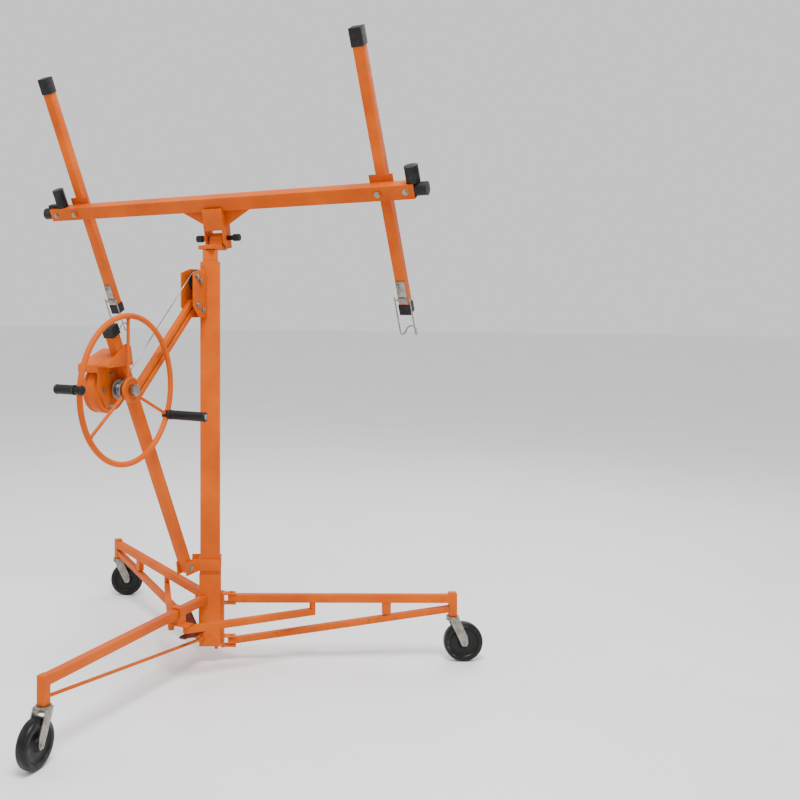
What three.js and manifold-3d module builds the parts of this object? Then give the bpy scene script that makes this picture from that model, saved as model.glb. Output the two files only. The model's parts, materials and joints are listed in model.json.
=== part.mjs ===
// Drywall lift: three-legged rolling base, telescoping mast, hand-wheel winch and tilting cradle.
// Millimetres, +Z up. The mast stands on X = Y = 0 and the fixed front leg points along -Y.
import * as THREE from 'three';
import { mergeVertices } from 'three/addons/utils/BufferGeometryUtils.js';
import Module from 'manifold-3d';

const wasm = await Module();
wasm.setup();

// ---- driving dimensions ----
const GAP = 0.4;
const RAD = Math.PI / 180;

const MAST_TURN = 30 * RAD;
const OUTER_TUBE = { side: 63.5, wall: 3, bottom: 61, top: 1306 };
const MIDDLE_TUBE = { side: 49, wall: 3, bottom: 70, top: 1345 };
const INNER_TUBE = { side: 36, wall: 3, bottom: 80, top: 1362 };
const SOCKET = { side: 70, top: 290, floor: 4 };

const LEG_REACH = 794;
const LEG_TUBE = 25;
const LEG_WALL = 2.5;
const LEG_TOP_Z = 204;
const FRONT_LEG_Z = 209;
const POST_BOTTOM = 148;
const POST_TOP = 224;
const LOWER_TUBE = 20;
const LOWER_TUBE_IN_Z = 63;
const LOWER_TUBE_OUT_Z = 172;
const HINGE_R = 70;
const HINGE_PIN_R = 5;
const TUBE_START = 57.5;
const STUB_AT = 335;
const STRUT_AT = 577;
const LEG_ANGLES = { right: 30 * RAD, back: 150 * RAD, front: -90 * RAD };

const CASTER = { wheelR: 63.5, width: 32, trail: 34, axleR: 6, crownTop: 147.6, stemR: 5.5, stemTop: 186 };
const CASTER_TRAILS = { right: 33 * RAD, back: 33 * RAD, front: -85 * RAD };

const LINK_SIZE = 20;
const LINK_Z = 160;
const SLIDER_Y = -185;
const EAR_X = 28;

const POST_DIR = new THREE.Vector2(-0.4496, 0.8932);
const POST_FOOT = new THREE.Vector2(-88.9, 312);
const POST_LENGTH = 870;
const POST_SIDE = 30;
const POST_X = -32;
const BRACE_X = [-37.6, -19.6];
const BRACE_FROM = new THREE.Vector2(-384, 887);
const BRACE_TO = new THREE.Vector2(-60, 1168);
const BRACE_WIDTH = 17;
const BRACE_OFFSET = 11.5;

const CABLE_R = 1.6;
const CABLE_X = -9.74;
const CABLE_DOWN_Y = -36.3;
const CABLE_END_Z = 110;
const PULLEY = { y: -70.3, z: 1242, cableR: 34, flangeR: 35.8, width: 10, axleR: 6 };

const WINCH = { y: -447, z: 921, shaftR: 10, drumR: 18, flangeR: 29 };
const WHEEL_X = 4;
const RIM_R = 212;
const RIM_TUBE_R = 8.5;
const SPOKE_ANGLES = [90 * RAD, 215 * RAD, -25 * RAD];
const NEAR_GRIP = { angle: -25 * RAD, r: 15, x0: 16, x1: 144 };
const FAR_GRIP = { angle: 176 * RAD, r: 14, x0: -78, x1: -10 };
const GRIP_PIN_R = 5;

const PIVOT = { y: 50, z: 1387, boltR: 8, boltX: 82 };
const BRACKET_LEAN = 11 * RAD;
const BRACKET = { width: 73, plate: 4, back: -28, front: 22, foot: -36, webFoot: 28, top: 100 };
const GUSSET = { foot: 38, edge: 92, reach: 133 };
const CRADLE_TILT = 27 * RAD;
const BEAM = { side: 45, wall: 2.5, halfLength: 695, y: 28, z: 1503 };
const ARM = { x: 582, side: 32, wall: 2, n: 42.8, up: 476, down: 425, boltR: 5, headRise: 2.4 };
const CAP_WALL = 2.8;
const TOP_CAP = 50;
const BOTTOM_CAP = 32;
const HOOK = { wireR: 2.5, axle: -372, halfWidth: 25, drop: 505, n: 19 };

// ---- geometry helpers ----
function toManifold(geometry) {
  let plain = geometry.clone();
  plain.deleteAttribute('normal');
  plain.deleteAttribute('uv');
  plain = mergeVertices(plain, 1e-4);
  const vertProperties = new Float32Array(plain.attributes.position.array);
  const triVerts = new Uint32Array(plain.index.array);
  return new wasm.Manifold(new wasm.Mesh({ numProp: 3, vertProperties, triVerts }));
}

function fromManifold(solid) {
  const mesh = solid.getMesh();
  const geometry = new THREE.BufferGeometry();
  geometry.setAttribute('position', new THREE.BufferAttribute(new Float32Array(mesh.vertProperties), 3));
  geometry.setIndex(new THREE.BufferAttribute(new Uint32Array(mesh.triVerts), 1));
  geometry.computeVertexNormals();
  return geometry;
}

function fuse(...geometries) {
  const [first, ...rest] = geometries.map(toManifold);
  return fromManifold(rest.reduce((sum, next) => sum.add(next), first));
}

function cut(geometry, ...tools) {
  const start = toManifold(geometry);
  return fromManifold(tools.map(toManifold).reduce((left, tool) => left.subtract(tool), start));
}

// box from its low corner to its high corner
function block(x0, x1, y0, y1, z0, z1) {
  const geometry = new THREE.BoxGeometry(x1 - x0, y1 - y0, z1 - z0);
  geometry.translate((x0 + x1) / 2, (y0 + y1) / 2, (z0 + z1) / 2);
  return geometry;
}

// round bar between two points
function rod(from, to, radius, segments = 16) {
  const start = new THREE.Vector3(...from);
  const span = new THREE.Vector3(...to).sub(start);
  const geometry = new THREE.CylinderGeometry(radius, radius, span.length(), segments);
  const turn = new THREE.Quaternion();
  turn.setFromUnitVectors(new THREE.Vector3(0, 1, 0), span.clone().normalize());
  geometry.applyQuaternion(turn);
  geometry.translate(...start.addScaledVector(span, 0.5).toArray());
  return geometry;
}

// flat outline in Y and Z, extruded along X
function slabX(outline, x0, x1) {
  const shape = new THREE.Shape(outline.map(([y, z]) => new THREE.Vector2(y, z)));
  const geometry = new THREE.ExtrudeGeometry(shape, { depth: x1 - x0, bevelEnabled: false });
  const axes = new THREE.Matrix4().makeBasis(
    new THREE.Vector3(0, 1, 0),
    new THREE.Vector3(0, 0, 1),
    new THREE.Vector3(1, 0, 0),
  );
  geometry.applyMatrix4(axes);
  geometry.translate(x0, 0, 0);
  return geometry;
}

// straight bar lying in a plane of constant X, given by its centre line
function barX(from, to, width, x0, x1) {
  const along = to.clone().sub(from).normalize();
  const side = new THREE.Vector2(-along.y, along.x).multiplyScalar(width / 2);
  const corners = [
    from.clone().sub(side),
    to.clone().sub(side),
    to.clone().add(side),
    from.clone().add(side),
  ];
  return slabX(corners.map((corner) => [corner.x, corner.y]), x0, x1);
}

// solid of revolution about the X axis; the profile is a closed loop of [x, radius]
function turnedX(profile, y, z, segments = 24) {
  const loop = [...profile, profile[0]].map(([x, r]) => new THREE.Vector2(r, x));
  const geometry = new THREE.LatheGeometry(loop, segments);
  geometry.rotateZ(-Math.PI / 2);
  geometry.translate(0, y, z);
  return outward(geometry);
}

// turns the faces round if the closed surface points inwards
function outward(geometry) {
  const position = geometry.attributes.position;
  const index = geometry.index;
  const [a, b, c] = [new THREE.Vector3(), new THREE.Vector3(), new THREE.Vector3()];
  let volume = 0;
  for (let i = 0; i < index.count; i += 3) {
    a.fromBufferAttribute(position, index.getX(i));
    b.fromBufferAttribute(position, index.getX(i + 1));
    c.fromBufferAttribute(position, index.getX(i + 2));
    volume += a.dot(b.cross(c));
  }
  if (volume < 0) {
    for (let i = 0; i < index.count; i += 3) {
      const second = index.getX(i + 1);
      index.setX(i + 1, index.getX(i + 2));
      index.setX(i + 2, second);
    }
  }
  return geometry;
}

// square upright tube in the turned mast frame
function mastPrism(halfSide, z0, z1) {
  const geometry = block(-halfSide, halfSide, -halfSide, halfSide, z0, z1);
  geometry.rotateZ(MAST_TURN);
  return geometry;
}

// curve through given points, stepping from one to the next
class PointPath extends THREE.Curve {
  constructor(points) {
    super();
    this.points = points;
  }

  getPoint(t) {
    const last = this.points.length - 1;
    const step = Math.min(Math.floor(t * last + 1e-9), last - 1);
    const along = t * last - step;
    return this.points[step].clone().lerp(this.points[step + 1], along);
  }

  getPointAt(u) {
    return this.getPoint(u);
  }

  getTangentAt(u) {
    const last = this.points.length - 1;
    const step = Math.round(u * last);
    const before = this.points[Math.max(step - 1, 0)];
    const after = this.points[Math.min(step + 1, last)];
    return after.clone().sub(before).normalize();
  }
}

// round wire swept through the points
function wire(points, radius, sides = 8) {
  const outline = [];
  for (let i = 0; i < sides; i += 1) {
    const angle = (i / sides) * 2 * Math.PI;
    outline.push(new THREE.Vector2(Math.cos(angle) * radius, Math.sin(angle) * radius));
  }
  const geometry = new THREE.ExtrudeGeometry(new THREE.Shape(outline), {
    steps: points.length - 1,
    extrudePath: new PointPath(points),
    bevelEnabled: false,
  });
  return outward(mergeVertices(withoutNormals(geometry), 1e-4));
}

function withoutNormals(geometry) {
  geometry.deleteAttribute('normal');
  geometry.deleteAttribute('uv');
  return geometry;
}

// points of an arc in a plane of constant X
function arcX(x, y, z, radius, from, to, steps) {
  const points = [];
  for (let i = 0; i <= steps; i += 1) {
    const angle = from + ((to - from) * i) / steps;
    points.push(new THREE.Vector3(x, y + radius * Math.cos(angle), z + radius * Math.sin(angle)));
  }
  return points;
}

// ---- materials ----
function paint(color, metalness, roughness) {
  return new THREE.MeshStandardMaterial({ color, metalness, roughness, flatShading: true });
}

const ORANGE = paint(0xde6716, 0.1, 0.45);
const BLACK = paint(0x141414, 0.0, 0.6);
const ZINC = paint(0x9a968c, 0.8, 0.4);
const STEEL = paint(0xb8b8b6, 0.9, 0.3);
const DARK_RED = paint(0x5a1208, 0.1, 0.5);

const group = new THREE.Group();
group.name = 'drywall_lift';

function addPart(name, geometry, material) {
  const mesh = new THREE.Mesh(geometry, material);
  mesh.name = name;
  group.add(mesh);
}

// ---- mast ----
function squareTube(tube) {
  const inner = tube.side / 2 - tube.wall;
  return cut(
    mastPrism(tube.side / 2, tube.bottom, tube.top),
    mastPrism(inner, tube.bottom - 1, tube.top + 1),
  );
}

function mastOuterTube() {
  const slot = block(-16.2, -3.2, -60, -33.9, PULLEY.z - 38, PULLEY.z + 38);
  return cut(squareTube(OUTER_TUBE), slot);
}

function mastSocket() {
  const floorBottom = OUTER_TUBE.bottom - GAP - SOCKET.floor;
  const bore = OUTER_TUBE.side / 2 + GAP;
  const sleeve = cut(
    mastPrism(SOCKET.side / 2, floorBottom, SOCKET.top),
    mastPrism(bore, OUTER_TUBE.bottom - GAP, SOCKET.top + 1),
  );
  return fuse(sleeve, rod([17, 9, 38], [17, 9, floorBottom + 1], 6));
}

// ---- winch frame fixed to the mast ----
function pulleyPlate(x0, x1) {
  const outline = [
    [20, 1282], [-60, 1282], [-112, 1268], [-112, 1160], [-75, 1124], [20, 1124],
  ];
  const keepOut = mastPrism(OUTER_TUBE.side / 2 + GAP, 1000, 1400);
  const behind = block(x0 - 1, x1 + 1, x0 > 0 ? -30 : 3, 40, 1000, 1400);
  const axle = rod([x0 - 1, PULLEY.y, PULLEY.z], [x1 + 1, PULLEY.y, PULLEY.z], PULLEY.axleR + GAP);
  return cut(slabX(outline, x0, x1), keepOut, behind, axle);
}

function pulleyAxle() {
  const shaft = rod([-47, PULLEY.y, PULLEY.z], [13, PULLEY.y, PULLEY.z], PULLEY.axleR);
  const nearHead = rod([8.4, PULLEY.y, PULLEY.z], [14, PULLEY.y, PULLEY.z], 10, 6);
  const farHead = rod([-48, PULLEY.y, PULLEY.z], [-42.4, PULLEY.y, PULLEY.z], 10, 6);
  return fuse(shaft, nearHead, farHead);
}

function mastPulley() {
  const x0 = CABLE_X - PULLEY.width / 2;
  const x1 = CABLE_X + PULLEY.width / 2;
  const groove = PULLEY.cableR - CABLE_R - GAP;
  const bore = PULLEY.axleR + GAP;
  const profile = [
    [x0, bore], [x0, PULLEY.flangeR], [x0 + 1.5, PULLEY.flangeR], [x0 + 3, groove],
    [x1 - 3, groove], [x1 - 1.5, PULLEY.flangeR], [x1, PULLEY.flangeR], [x1, bore],
  ];
  return turnedX(profile, PULLEY.y, PULLEY.z, 28);
}

function postPoint(distance) {
  return POST_FOOT.clone().addScaledVector(POST_DIR, distance);
}

function postPrism(halfSide, from, to) {
  return barX(postPoint(from), postPoint(to), halfSide * 2, POST_X - halfSide, POST_X + halfSide);
}

function winchPost() {
  const inner = POST_SIDE / 2 - LEG_WALL;
  return cut(postPrism(POST_SIDE / 2, 0, POST_LENGTH), postPrism(inner, -5, POST_LENGTH + 5));
}

function winchPostCap() {
  const solid = postPrism(POST_SIDE / 2 + 3, POST_LENGTH - 14, POST_LENGTH + 17);
  return cut(solid, postPrism(POST_SIDE / 2 + GAP, POST_LENGTH - 20, POST_LENGTH + GAP));
}

function braceBar(offset) {
  const side = BRACE_TO.clone().sub(BRACE_FROM).normalize();
  side.set(-side.y, side.x).multiplyScalar(offset);
  const bar = barX(BRACE_FROM.clone().add(side), BRACE_TO.clone().add(side), BRACE_WIDTH, ...BRACE_X);
  const postSpace = barX(postPoint(0), postPoint(POST_LENGTH), POST_SIDE + 2 * GAP, -60, 0);
  return cut(bar, postSpace);
}

function postYoke() {
  const half = OUTER_TUBE.side / 2 + GAP;
  const plate = 4;
  const collar = cut(
    block(-half - plate, half + plate, -half - plate, half + plate, 302, 339),
    block(-half, half, -half, half, 300, 341),
  );
  const frontPlate = block(-92, 0, -half - plate, -half, 302, 339);
  const backPlate = block(-62, 0, half, half + plate, 302, 339);
  const band = fuse(collar, frontPlate, backPlate);
  band.rotateZ(MAST_TURN);
  const earOutline = (root) => [[root, 302], [root, 339], [-104, 345], [-124, 345], [-118, 302]];
  const farEar = slabX(earOutline(-66), -51.4, -47.4);
  const nearEar = slabX(earOutline(-45), -16.6, -12.6);
  return fuse(band, farEar, nearEar);
}

// ---- winch ----
function aboutWinch(radius, angle) {
  return [WINCH.y + radius * Math.cos(angle), WINCH.z + radius * Math.sin(angle)];
}

function brakeHousing() {
  const bore = WINCH.shaftR + 0.8;
  const profile = [
    [-120, bore], [-120, 38], [-114, 60], [-104, 71], [-66, 71], [-60, 64], [-51.8, 64], [-51.8, bore],
  ];
  return turnedX(profile, WINCH.y, WINCH.z, 32);
}

function winchBearingBracket() {
  const sidePlate = slabX(
    [[-418, 1034], [-520, 994], [-516, 921], [-480, 868], [-420, 868], [-378, 900], [-392, 960]],
    -51.4,
    -47.4,
  );
  const nearPlate = slabX([[-400, 990], [-412, 1046], [-436, 1052], [-520, 994], [-516, 986]], -16.6, -12.6);
  const hood = slabX([[-412, 1036], [-522, 994], [-522, 989], [-412, 1031]], -118, -12.6);
  const lip = slabX([[-522, 994], [-522, 972], [-518, 972], [-518, 994]], -118, -47.4);
  const postSpace = postPrism(POST_SIDE / 2 + GAP, 0, POST_LENGTH);
  const bore = rod([-60, WINCH.y, WINCH.z], [-40, WINCH.y, WINCH.z], WINCH.shaftR + GAP, 24);
  return cut(fuse(sidePlate, nearPlate, hood, lip), postSpace, bore);
}

function winchShaft() {
  const shaft = rod([-128, WINCH.y, WINCH.z], [30, WINCH.y, WINCH.z], WINCH.shaftR, 24);
  const nut = rod([19, WINCH.y, WINCH.z], [36, WINCH.y, WINCH.z], 17, 6);
  const farNut = rod([-132, WINCH.y, WINCH.z], [-121, WINCH.y, WINCH.z], 15, 6);
  return fuse(shaft, nut, farNut);
}

function cableDrum() {
  const bore = WINCH.shaftR + GAP;
  const profile = [
    [-32, bore], [-32, WINCH.flangeR], [-29, WINCH.flangeR], [-29, WINCH.drumR],
    [-6.5, WINCH.drumR], [-6.5, WINCH.flangeR], [-4, WINCH.flangeR], [-4, bore],
  ];
  return turnedX(profile, WINCH.y, WINCH.z, 24);
}

function rimLoop() {
  const profile = [];
  const sides = 8;
  for (let i = 0; i < sides; i += 1) {
    const angle = (i / sides) * 2 * Math.PI;
    profile.push([WHEEL_X + RIM_TUBE_R * Math.cos(angle), RIM_R + RIM_TUBE_R * Math.sin(angle)]);
  }
  return turnedX(profile, WINCH.y, WINCH.z, 36);
}

function gripPin(grip, outerX) {
  const [y, z] = aboutWinch(RIM_R, grip.angle);
  const sign = Math.sign(outerX - WHEEL_X);
  const pin = rod([WHEEL_X, y, z], [outerX + 2 * sign, y, z], GRIP_PIN_R, 12);
  const head = rod([outerX + GAP * sign, y, z], [outerX + 3 * sign, y, z], 9, 12);
  return fuse(pin, head);
}

function handWheel() {
  const spokes = SPOKE_ANGLES.map((angle) => {
    const [y0, z0] = aboutWinch(24, angle);
    const [y1, z1] = aboutWinch(RIM_R, angle);
    return rod([WHEEL_X, y0, z0], [WHEEL_X, y1, z1], 5, 10);
  });
  const hub = rod([-3, WINCH.y, WINCH.z], [12, WINCH.y, WINCH.z], 26, 24);
  const disc = rod([10, WINCH.y, WINCH.z], [18, WINCH.y, WINCH.z], 37, 24);
  const pins = [gripPin(NEAR_GRIP, NEAR_GRIP.x1), gripPin(FAR_GRIP, FAR_GRIP.x0)];
  const solid = fuse(rimLoop(), ...spokes, hub, disc, ...pins);
  const bore = rod([-10, WINCH.y, WINCH.z], [18.6, WINCH.y, WINCH.z], WINCH.shaftR + GAP, 24);
  return cut(solid, bore);
}

function grip(spec) {
  const [y, z] = aboutWinch(RIM_R, spec.angle);
  const bore = GRIP_PIN_R + GAP;
  const profile = [
    [spec.x0, bore], [spec.x0, spec.r], [spec.x1, spec.r], [spec.x1, bore],
  ];
  return turnedX(profile, y, z, 20);
}

// drum, up to the mast pulley, over it and down between the mast tubes
function hoistCable() {
  const drum = new THREE.Vector2(WINCH.y, WINCH.z);
  const pulley = new THREE.Vector2(PULLEY.y, PULLEY.z);
  const wrapR = WINCH.drumR + CABLE_R + GAP;
  const span = pulley.clone().sub(drum);
  const tangentAngle = span.angle() + Math.acos((wrapR - PULLEY.cableR) / span.length());
  const onDrum = arcX(CABLE_X, drum.x, drum.y, wrapR, tangentAngle + 150 * RAD, tangentAngle, 10);
  const overPulley = arcX(CABLE_X, pulley.x, pulley.y, PULLEY.cableR, tangentAngle, 0, 10);
  const end = new THREE.Vector3(CABLE_X, CABLE_DOWN_Y, CABLE_END_Z);
  return wire([...onDrum, ...overPulley, end], CABLE_R, 8);
}

// ---- base ----
function inLeg(geometry, angle) {
  geometry.rotateZ(angle);
  return geometry;
}

function legPost() {
  const half = LEG_TUBE / 2;
  return block(LEG_REACH - half, LEG_REACH + half, -half, half, POST_BOTTOM, POST_TOP);
}

function stemBore() {
  const radius = CASTER.stemR + GAP + 0.1;
  return rod([LEG_REACH, 0, POST_BOTTOM - 1], [LEG_REACH, 0, CASTER.stemTop + 2], radius, 16);
}

// folding leg: top tube, end post, strut and link stub
function foldingLegTop(angle) {
  const half = LEG_TUBE / 2;
  const inner = half - LEG_WALL;
  const end = LEG_REACH - half;
  const tube = block(TUBE_START, end + 1, -half, half, LEG_TOP_Z - half, LEG_TOP_Z + half);
  const hollow = block(TUBE_START - 1, end - 12, -inner, inner, LEG_TOP_Z - inner, LEG_TOP_Z + inner);
  const strutFoot = lowerTubeTop(STRUT_AT) + 3;
  const strut = block(STRUT_AT - 14, STRUT_AT + 14, -10, 10, strutFoot, LEG_TOP_Z - half + 1);
  const stub = rod([STUB_AT, 0, LINK_Z + 10 + GAP], [STUB_AT, 0, LEG_TOP_Z - half + 1], 10);
  const linkPin = rod([STUB_AT, 0, LINK_Z - 12], [STUB_AT, 0, LEG_TOP_Z - half + 1], 4, 12);
  const hingeBore = rod([HINGE_R, 0, 150], [HINGE_R, 0, 250], HINGE_PIN_R + GAP);
  const hollowTube = cut(tube, hollow);
  return inLeg(cut(fuse(hollowTube, legPost(), strut, stub, linkPin), hingeBore, stemBore()), angle);
}

function lowerTubeZ(reach) {
  const share = (reach - TUBE_START) / (LEG_REACH - TUBE_START);
  return LOWER_TUBE_IN_Z + (LOWER_TUBE_OUT_Z - LOWER_TUBE_IN_Z) * share;
}

function lowerTubeTop(reach) {
  return lowerTubeZ(reach) + LOWER_TUBE / 2;
}

function foldingLegBottom(angle) {
  const end = LEG_REACH - LEG_TUBE / 2 - GAP;
  const half = LOWER_TUBE / 2;
  const corners = [
    [TUBE_START, lowerTubeZ(TUBE_START) - half],
    [end, lowerTubeZ(end) - half],
    [end, lowerTubeZ(end) + half],
    [TUBE_START, lowerTubeZ(TUBE_START) + half],
  ];
  const tube = slabX(corners, -half, half);
  tube.rotateZ(-Math.PI / 2);
  const bore = rod([HINGE_R, 0, 20], [HINGE_R, 0, 120], HINGE_PIN_R + GAP);
  return inLeg(cut(tube, bore), angle);
}

// upright strip on the socket with two pairs of ears and their pins
function hingeBracket(angle) {
  const strip = block(28, 46, -20, 20, 48, 223);
  const ear = (z0, z1) => block(40, 84, -15, 15, z0, z1);
  const pin = (z0, z1) => rod([HINGE_R, 0, z0], [HINGE_R, 0, z1], HINGE_PIN_R);
  const body = fuse(
    strip,
    ear(186, 190.8),
    ear(217, 221.5),
    pin(184, 226),
    ear(47.5, 51.5),
    ear(77.8, 81.8),
    pin(44, 85),
  );
  return cut(inLeg(body, angle), mastPrism(SOCKET.side / 2 + GAP, 0, 400));
}

function frontLeg() {
  const half = LEG_TUBE / 2;
  const inner = half - LEG_WALL;
  const end = LEG_REACH - half;
  const tube = block(10, end + 1, -half, half, FRONT_LEG_Z - half, FRONT_LEG_Z + half);
  const hollow = block(9, end - 12, -inner, inner, FRONT_LEG_Z - inner, FRONT_LEG_Z + inner);
  const leg = inLeg(cut(fuse(cut(tube, hollow), legPost()), stemBore()), LEG_ANGLES.front);
  return cut(leg, mastPrism(SOCKET.side / 2 + GAP, 0, 400));
}

function frontLegRod() {
  const start = [0, -LEG_REACH + LEG_TUBE / 2 + 3 * GAP, 164];
  const bar = rod(start, [0, -30, 83], 5, 12);
  return cut(bar, mastPrism(SOCKET.side / 2 + GAP, 0, 400));
}

function latchPlate() {
  const top = FRONT_LEG_Z - LEG_TUBE / 2 - GAP;
  const outline = [
    [-118, top], [-158, top], [-150, 176], [-104, 104], [-30, 104], [-30, 126], [-74, 130],
  ];
  const plate = slabX(outline, -2.5, 2.5);
  const pin = rod([-10, -86, 114], [13, -86, 114], 4, 12);
  return cut(fuse(plate, pin), mastPrism(SOCKET.side / 2 + GAP, 0, 400));
}

function latchPedal() {
  const side = [[-76, 106], [-76, 122], [-100, 128], [-166, 128], [-166, 120], [-96, 106]];
  const cheek = (x0, x1) => slabX(side, x0, x1);
  const pad = block(-10, 13, -168, -140, 120, 126);
  const bore = rod([-20, -86, 114], [20, -86, 114], 4 + GAP, 12);
  const slot = slabX([[-70, 90], [-70, 140], [-139, 140], [-139, 90]], -3, 3);
  return cut(fuse(cheek(3.2, 7.2), cheek(-7.2, -3.2), pad), bore, slot);
}

function legSlider() {
  const hole = LEG_TUBE / 2 + 0.7;
  const outer = hole + 4.5;
  const collar = block(-outer, outer, SLIDER_Y - 15, SLIDER_Y + 15, 171.5, FRONT_LEG_Z + outer);
  const ears = block(-42, 42, SLIDER_Y - 20, SLIDER_Y + 20, 171.5, 176);
  const tube = block(-hole, hole, SLIDER_Y - 30, SLIDER_Y + 30, FRONT_LEG_Z - hole, FRONT_LEG_Z + hole);
  return cut(fuse(collar, ears), tube);
}

// bar from the slider ear to the pin under the leg
function linkBar(side) {
  const legAngle = side > 0 ? LEG_ANGLES.right : LEG_ANGLES.back;
  const stub = new THREE.Vector2(Math.cos(legAngle), Math.sin(legAngle)).multiplyScalar(STUB_AT);
  const ear = new THREE.Vector2(side * EAR_X, SLIDER_Y);
  const span = stub.clone().sub(ear);
  const half = LINK_SIZE / 2;
  const bar = fuse(
    block(0, span.length(), -half, half, LINK_Z - half, LINK_Z + half),
    rod([0, 0, LINK_Z - half], [0, 0, LINK_Z + half], half, 16),
    rod([span.length(), 0, LINK_Z - half], [span.length(), 0, LINK_Z + half], half, 16),
  );
  const bore = rod([span.length(), 0, LINK_Z - 20], [span.length(), 0, LINK_Z + 20], 4 + GAP, 12);
  const link = cut(bar, bore);
  link.rotateZ(span.angle());
  link.translate(ear.x, ear.y, 0);
  return link;
}

// ---- casters ----
function atLegEnd(geometry, side) {
  geometry.rotateZ(CASTER_TRAILS[side]);
  const angle = LEG_ANGLES[side];
  geometry.translate(LEG_REACH * Math.cos(angle), LEG_REACH * Math.sin(angle), 0);
  return geometry;
}

function casterFork(side) {
  const cheekOutline = [
    [-15, 143], [17, 143], [44, 84], [46, 63.5], [41, 53], [27, 53], [22, 63.5], [-6, 120],
  ];
  const cheek = (y0, y1) => {
    const plate = slabX(cheekOutline, y0, y1);
    plate.rotateZ(-Math.PI / 2);
    return plate;
  };
  const crown = rod([0, 0, 139], [0, 0, CASTER.crownTop], 21, 20);
  const bridge = block(-15, 17, -21, 21, 139, 144);
  const stem = rod([0, 0, 140], [0, 0, CASTER.stemTop], CASTER.stemR);
  const axle = rod([CASTER.trail, -25, CASTER.wheelR], [CASTER.trail, 25, CASTER.wheelR], CASTER.axleR, 12);
  return atLegEnd(fuse(crown, bridge, stem, cheek(-21.4, -18), cheek(18, 21.4), axle), side);
}

function casterWheel(side) {
  const half = CASTER.width / 2;
  const bore = CASTER.axleR + GAP;
  const profile = [
    [-17.4, bore], [-17.4, 14], [-9, 17], [-9, 40], [-half, 44], [-half, 58], [-half + 5, CASTER.wheelR],
    [half - 5, CASTER.wheelR], [half, 58], [half, 44], [9, 40], [9, 17], [17.4, 14], [17.4, bore],
  ];
  const wheel = turnedX(profile, 0, 0, 28);
  wheel.rotateZ(Math.PI / 2);
  wheel.translate(CASTER.trail, 0, CASTER.wheelR);
  return atLegEnd(wheel, side);
}

// ---- head and cradle ----
function tiltHead() {
  const lug = rod([-24, PIVOT.y, PIVOT.z], [24, PIVOT.y, PIVOT.z], 18, 24);
  const neck = block(-24, 24, 33, 64, 1346.5, PIVOT.z);
  const collar = block(-28, 28, -30, 50, 1346.5, 1360);
  const tubeSpace = mastPrism(INNER_TUBE.side / 2 + GAP, 1300, 1362.5);
  const bore = rod([-30, PIVOT.y, PIVOT.z], [30, PIVOT.y, PIVOT.z], PIVOT.boltR + GAP, 20);
  return cut(fuse(lug, neck, collar), tubeSpace, bore);
}

function tiltBolt() {
  const shankX = PIVOT.boltX - 2;
  const shank = rod([-shankX, PIVOT.y, PIVOT.z], [shankX, PIVOT.y, PIVOT.z], PIVOT.boltR, 20);
  const end = (sign) => rod([sign * 60, PIVOT.y, PIVOT.z], [sign * PIVOT.boltX, PIVOT.y, PIVOT.z], 12, 20);
  return fuse(shank, end(1), end(-1));
}

function inBeamFrame(geometry) {
  geometry.rotateX(CRADLE_TILT);
  geometry.translate(0, BEAM.y, BEAM.z);
  return geometry;
}

function cradleBeam() {
  const half = BEAM.side / 2;
  const inner = half - BEAM.wall;
  const length = BEAM.halfLength;
  const bore = (x) => rod([x, -half - 1, 0], [x, half + 1, 0], ARM.boltR + GAP);
  const tube = cut(
    block(-length, length, -half, half, -half, half),
    block(-length - 1, length + 1, -inner, inner, -inner, inner),
    bore(ARM.x),
    bore(-ARM.x),
  );
  return inBeamFrame(tube);
}

// channel between the tilt bolt and the beam, with a gusset on each side
function cradleBracket() {
  const half = BRACKET.width / 2;
  const flangeOutline = [
    [BRACKET.front, BRACKET.foot], [BRACKET.front, BRACKET.top], [BRACKET.back, BRACKET.top],
    [BRACKET.back, -14], [-8, BRACKET.foot],
  ];
  const web = block(-half, half, BRACKET.back, BRACKET.back + BRACKET.plate, BRACKET.webFoot, BRACKET.top);
  const gusset = (sign) => {
    const shape = new THREE.Shape([
      new THREE.Vector2(sign * (half - 1), GUSSET.foot),
      new THREE.Vector2(sign * GUSSET.reach, GUSSET.edge),
      new THREE.Vector2(sign * GUSSET.reach, BRACKET.top),
      new THREE.Vector2(sign * (half - 1), BRACKET.top),
    ]);
    const plate = new THREE.ExtrudeGeometry(shape, { depth: BRACKET.plate, bevelEnabled: false });
    plate.rotateX(Math.PI / 2);
    plate.translate(0, 4, 0);
    return plate;
  };
  const body = fuse(
    slabX(flangeOutline, -half, -half + BRACKET.plate),
    slabX(flangeOutline, half - BRACKET.plate, half),
    web,
    gusset(1),
    gusset(-1),
  );
  const bore = rod([-50, 0, 0], [50, 0, 0], PIVOT.boltR + GAP, 20);
  const bracket = cut(body, bore);
  bracket.rotateX(BRACKET_LEAN);
  bracket.translate(0, PIVOT.y, PIVOT.z);
  const space = BEAM.side / 2 + GAP;
  return cut(bracket, inBeamFrame(block(-200, 200, -space, space, -space, space)));
}

// black end stop: a round knob over the beam and another beyond its end
function endStop(x, rise) {
  const sign = Math.sign(x);
  const upper = rod([x, 0, BEAM.side / 2 + GAP], [x, 0, rise + 30], 21, 16);
  const outer = rod([sign * (BEAM.halfLength + GAP), -2, 2], [sign * (BEAM.halfLength + 36), -2, 2], 21, 16);
  const strap = block(
    Math.min(x, sign * (BEAM.halfLength + 12)),
    Math.max(x, sign * (BEAM.halfLength + 12)),
    -9,
    9,
    BEAM.side / 2 + GAP,
    BEAM.side / 2 + 12,
  );
  const hanger = block(
    Math.min(sign * (BEAM.halfLength + GAP), sign * (BEAM.halfLength + 12)),
    Math.max(sign * (BEAM.halfLength + GAP), sign * (BEAM.halfLength + 12)),
    -9,
    9,
    0,
    BEAM.side / 2 + 12,
  );
  return inBeamFrame(fuse(upper, outer, strap, hanger));
}

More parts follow.
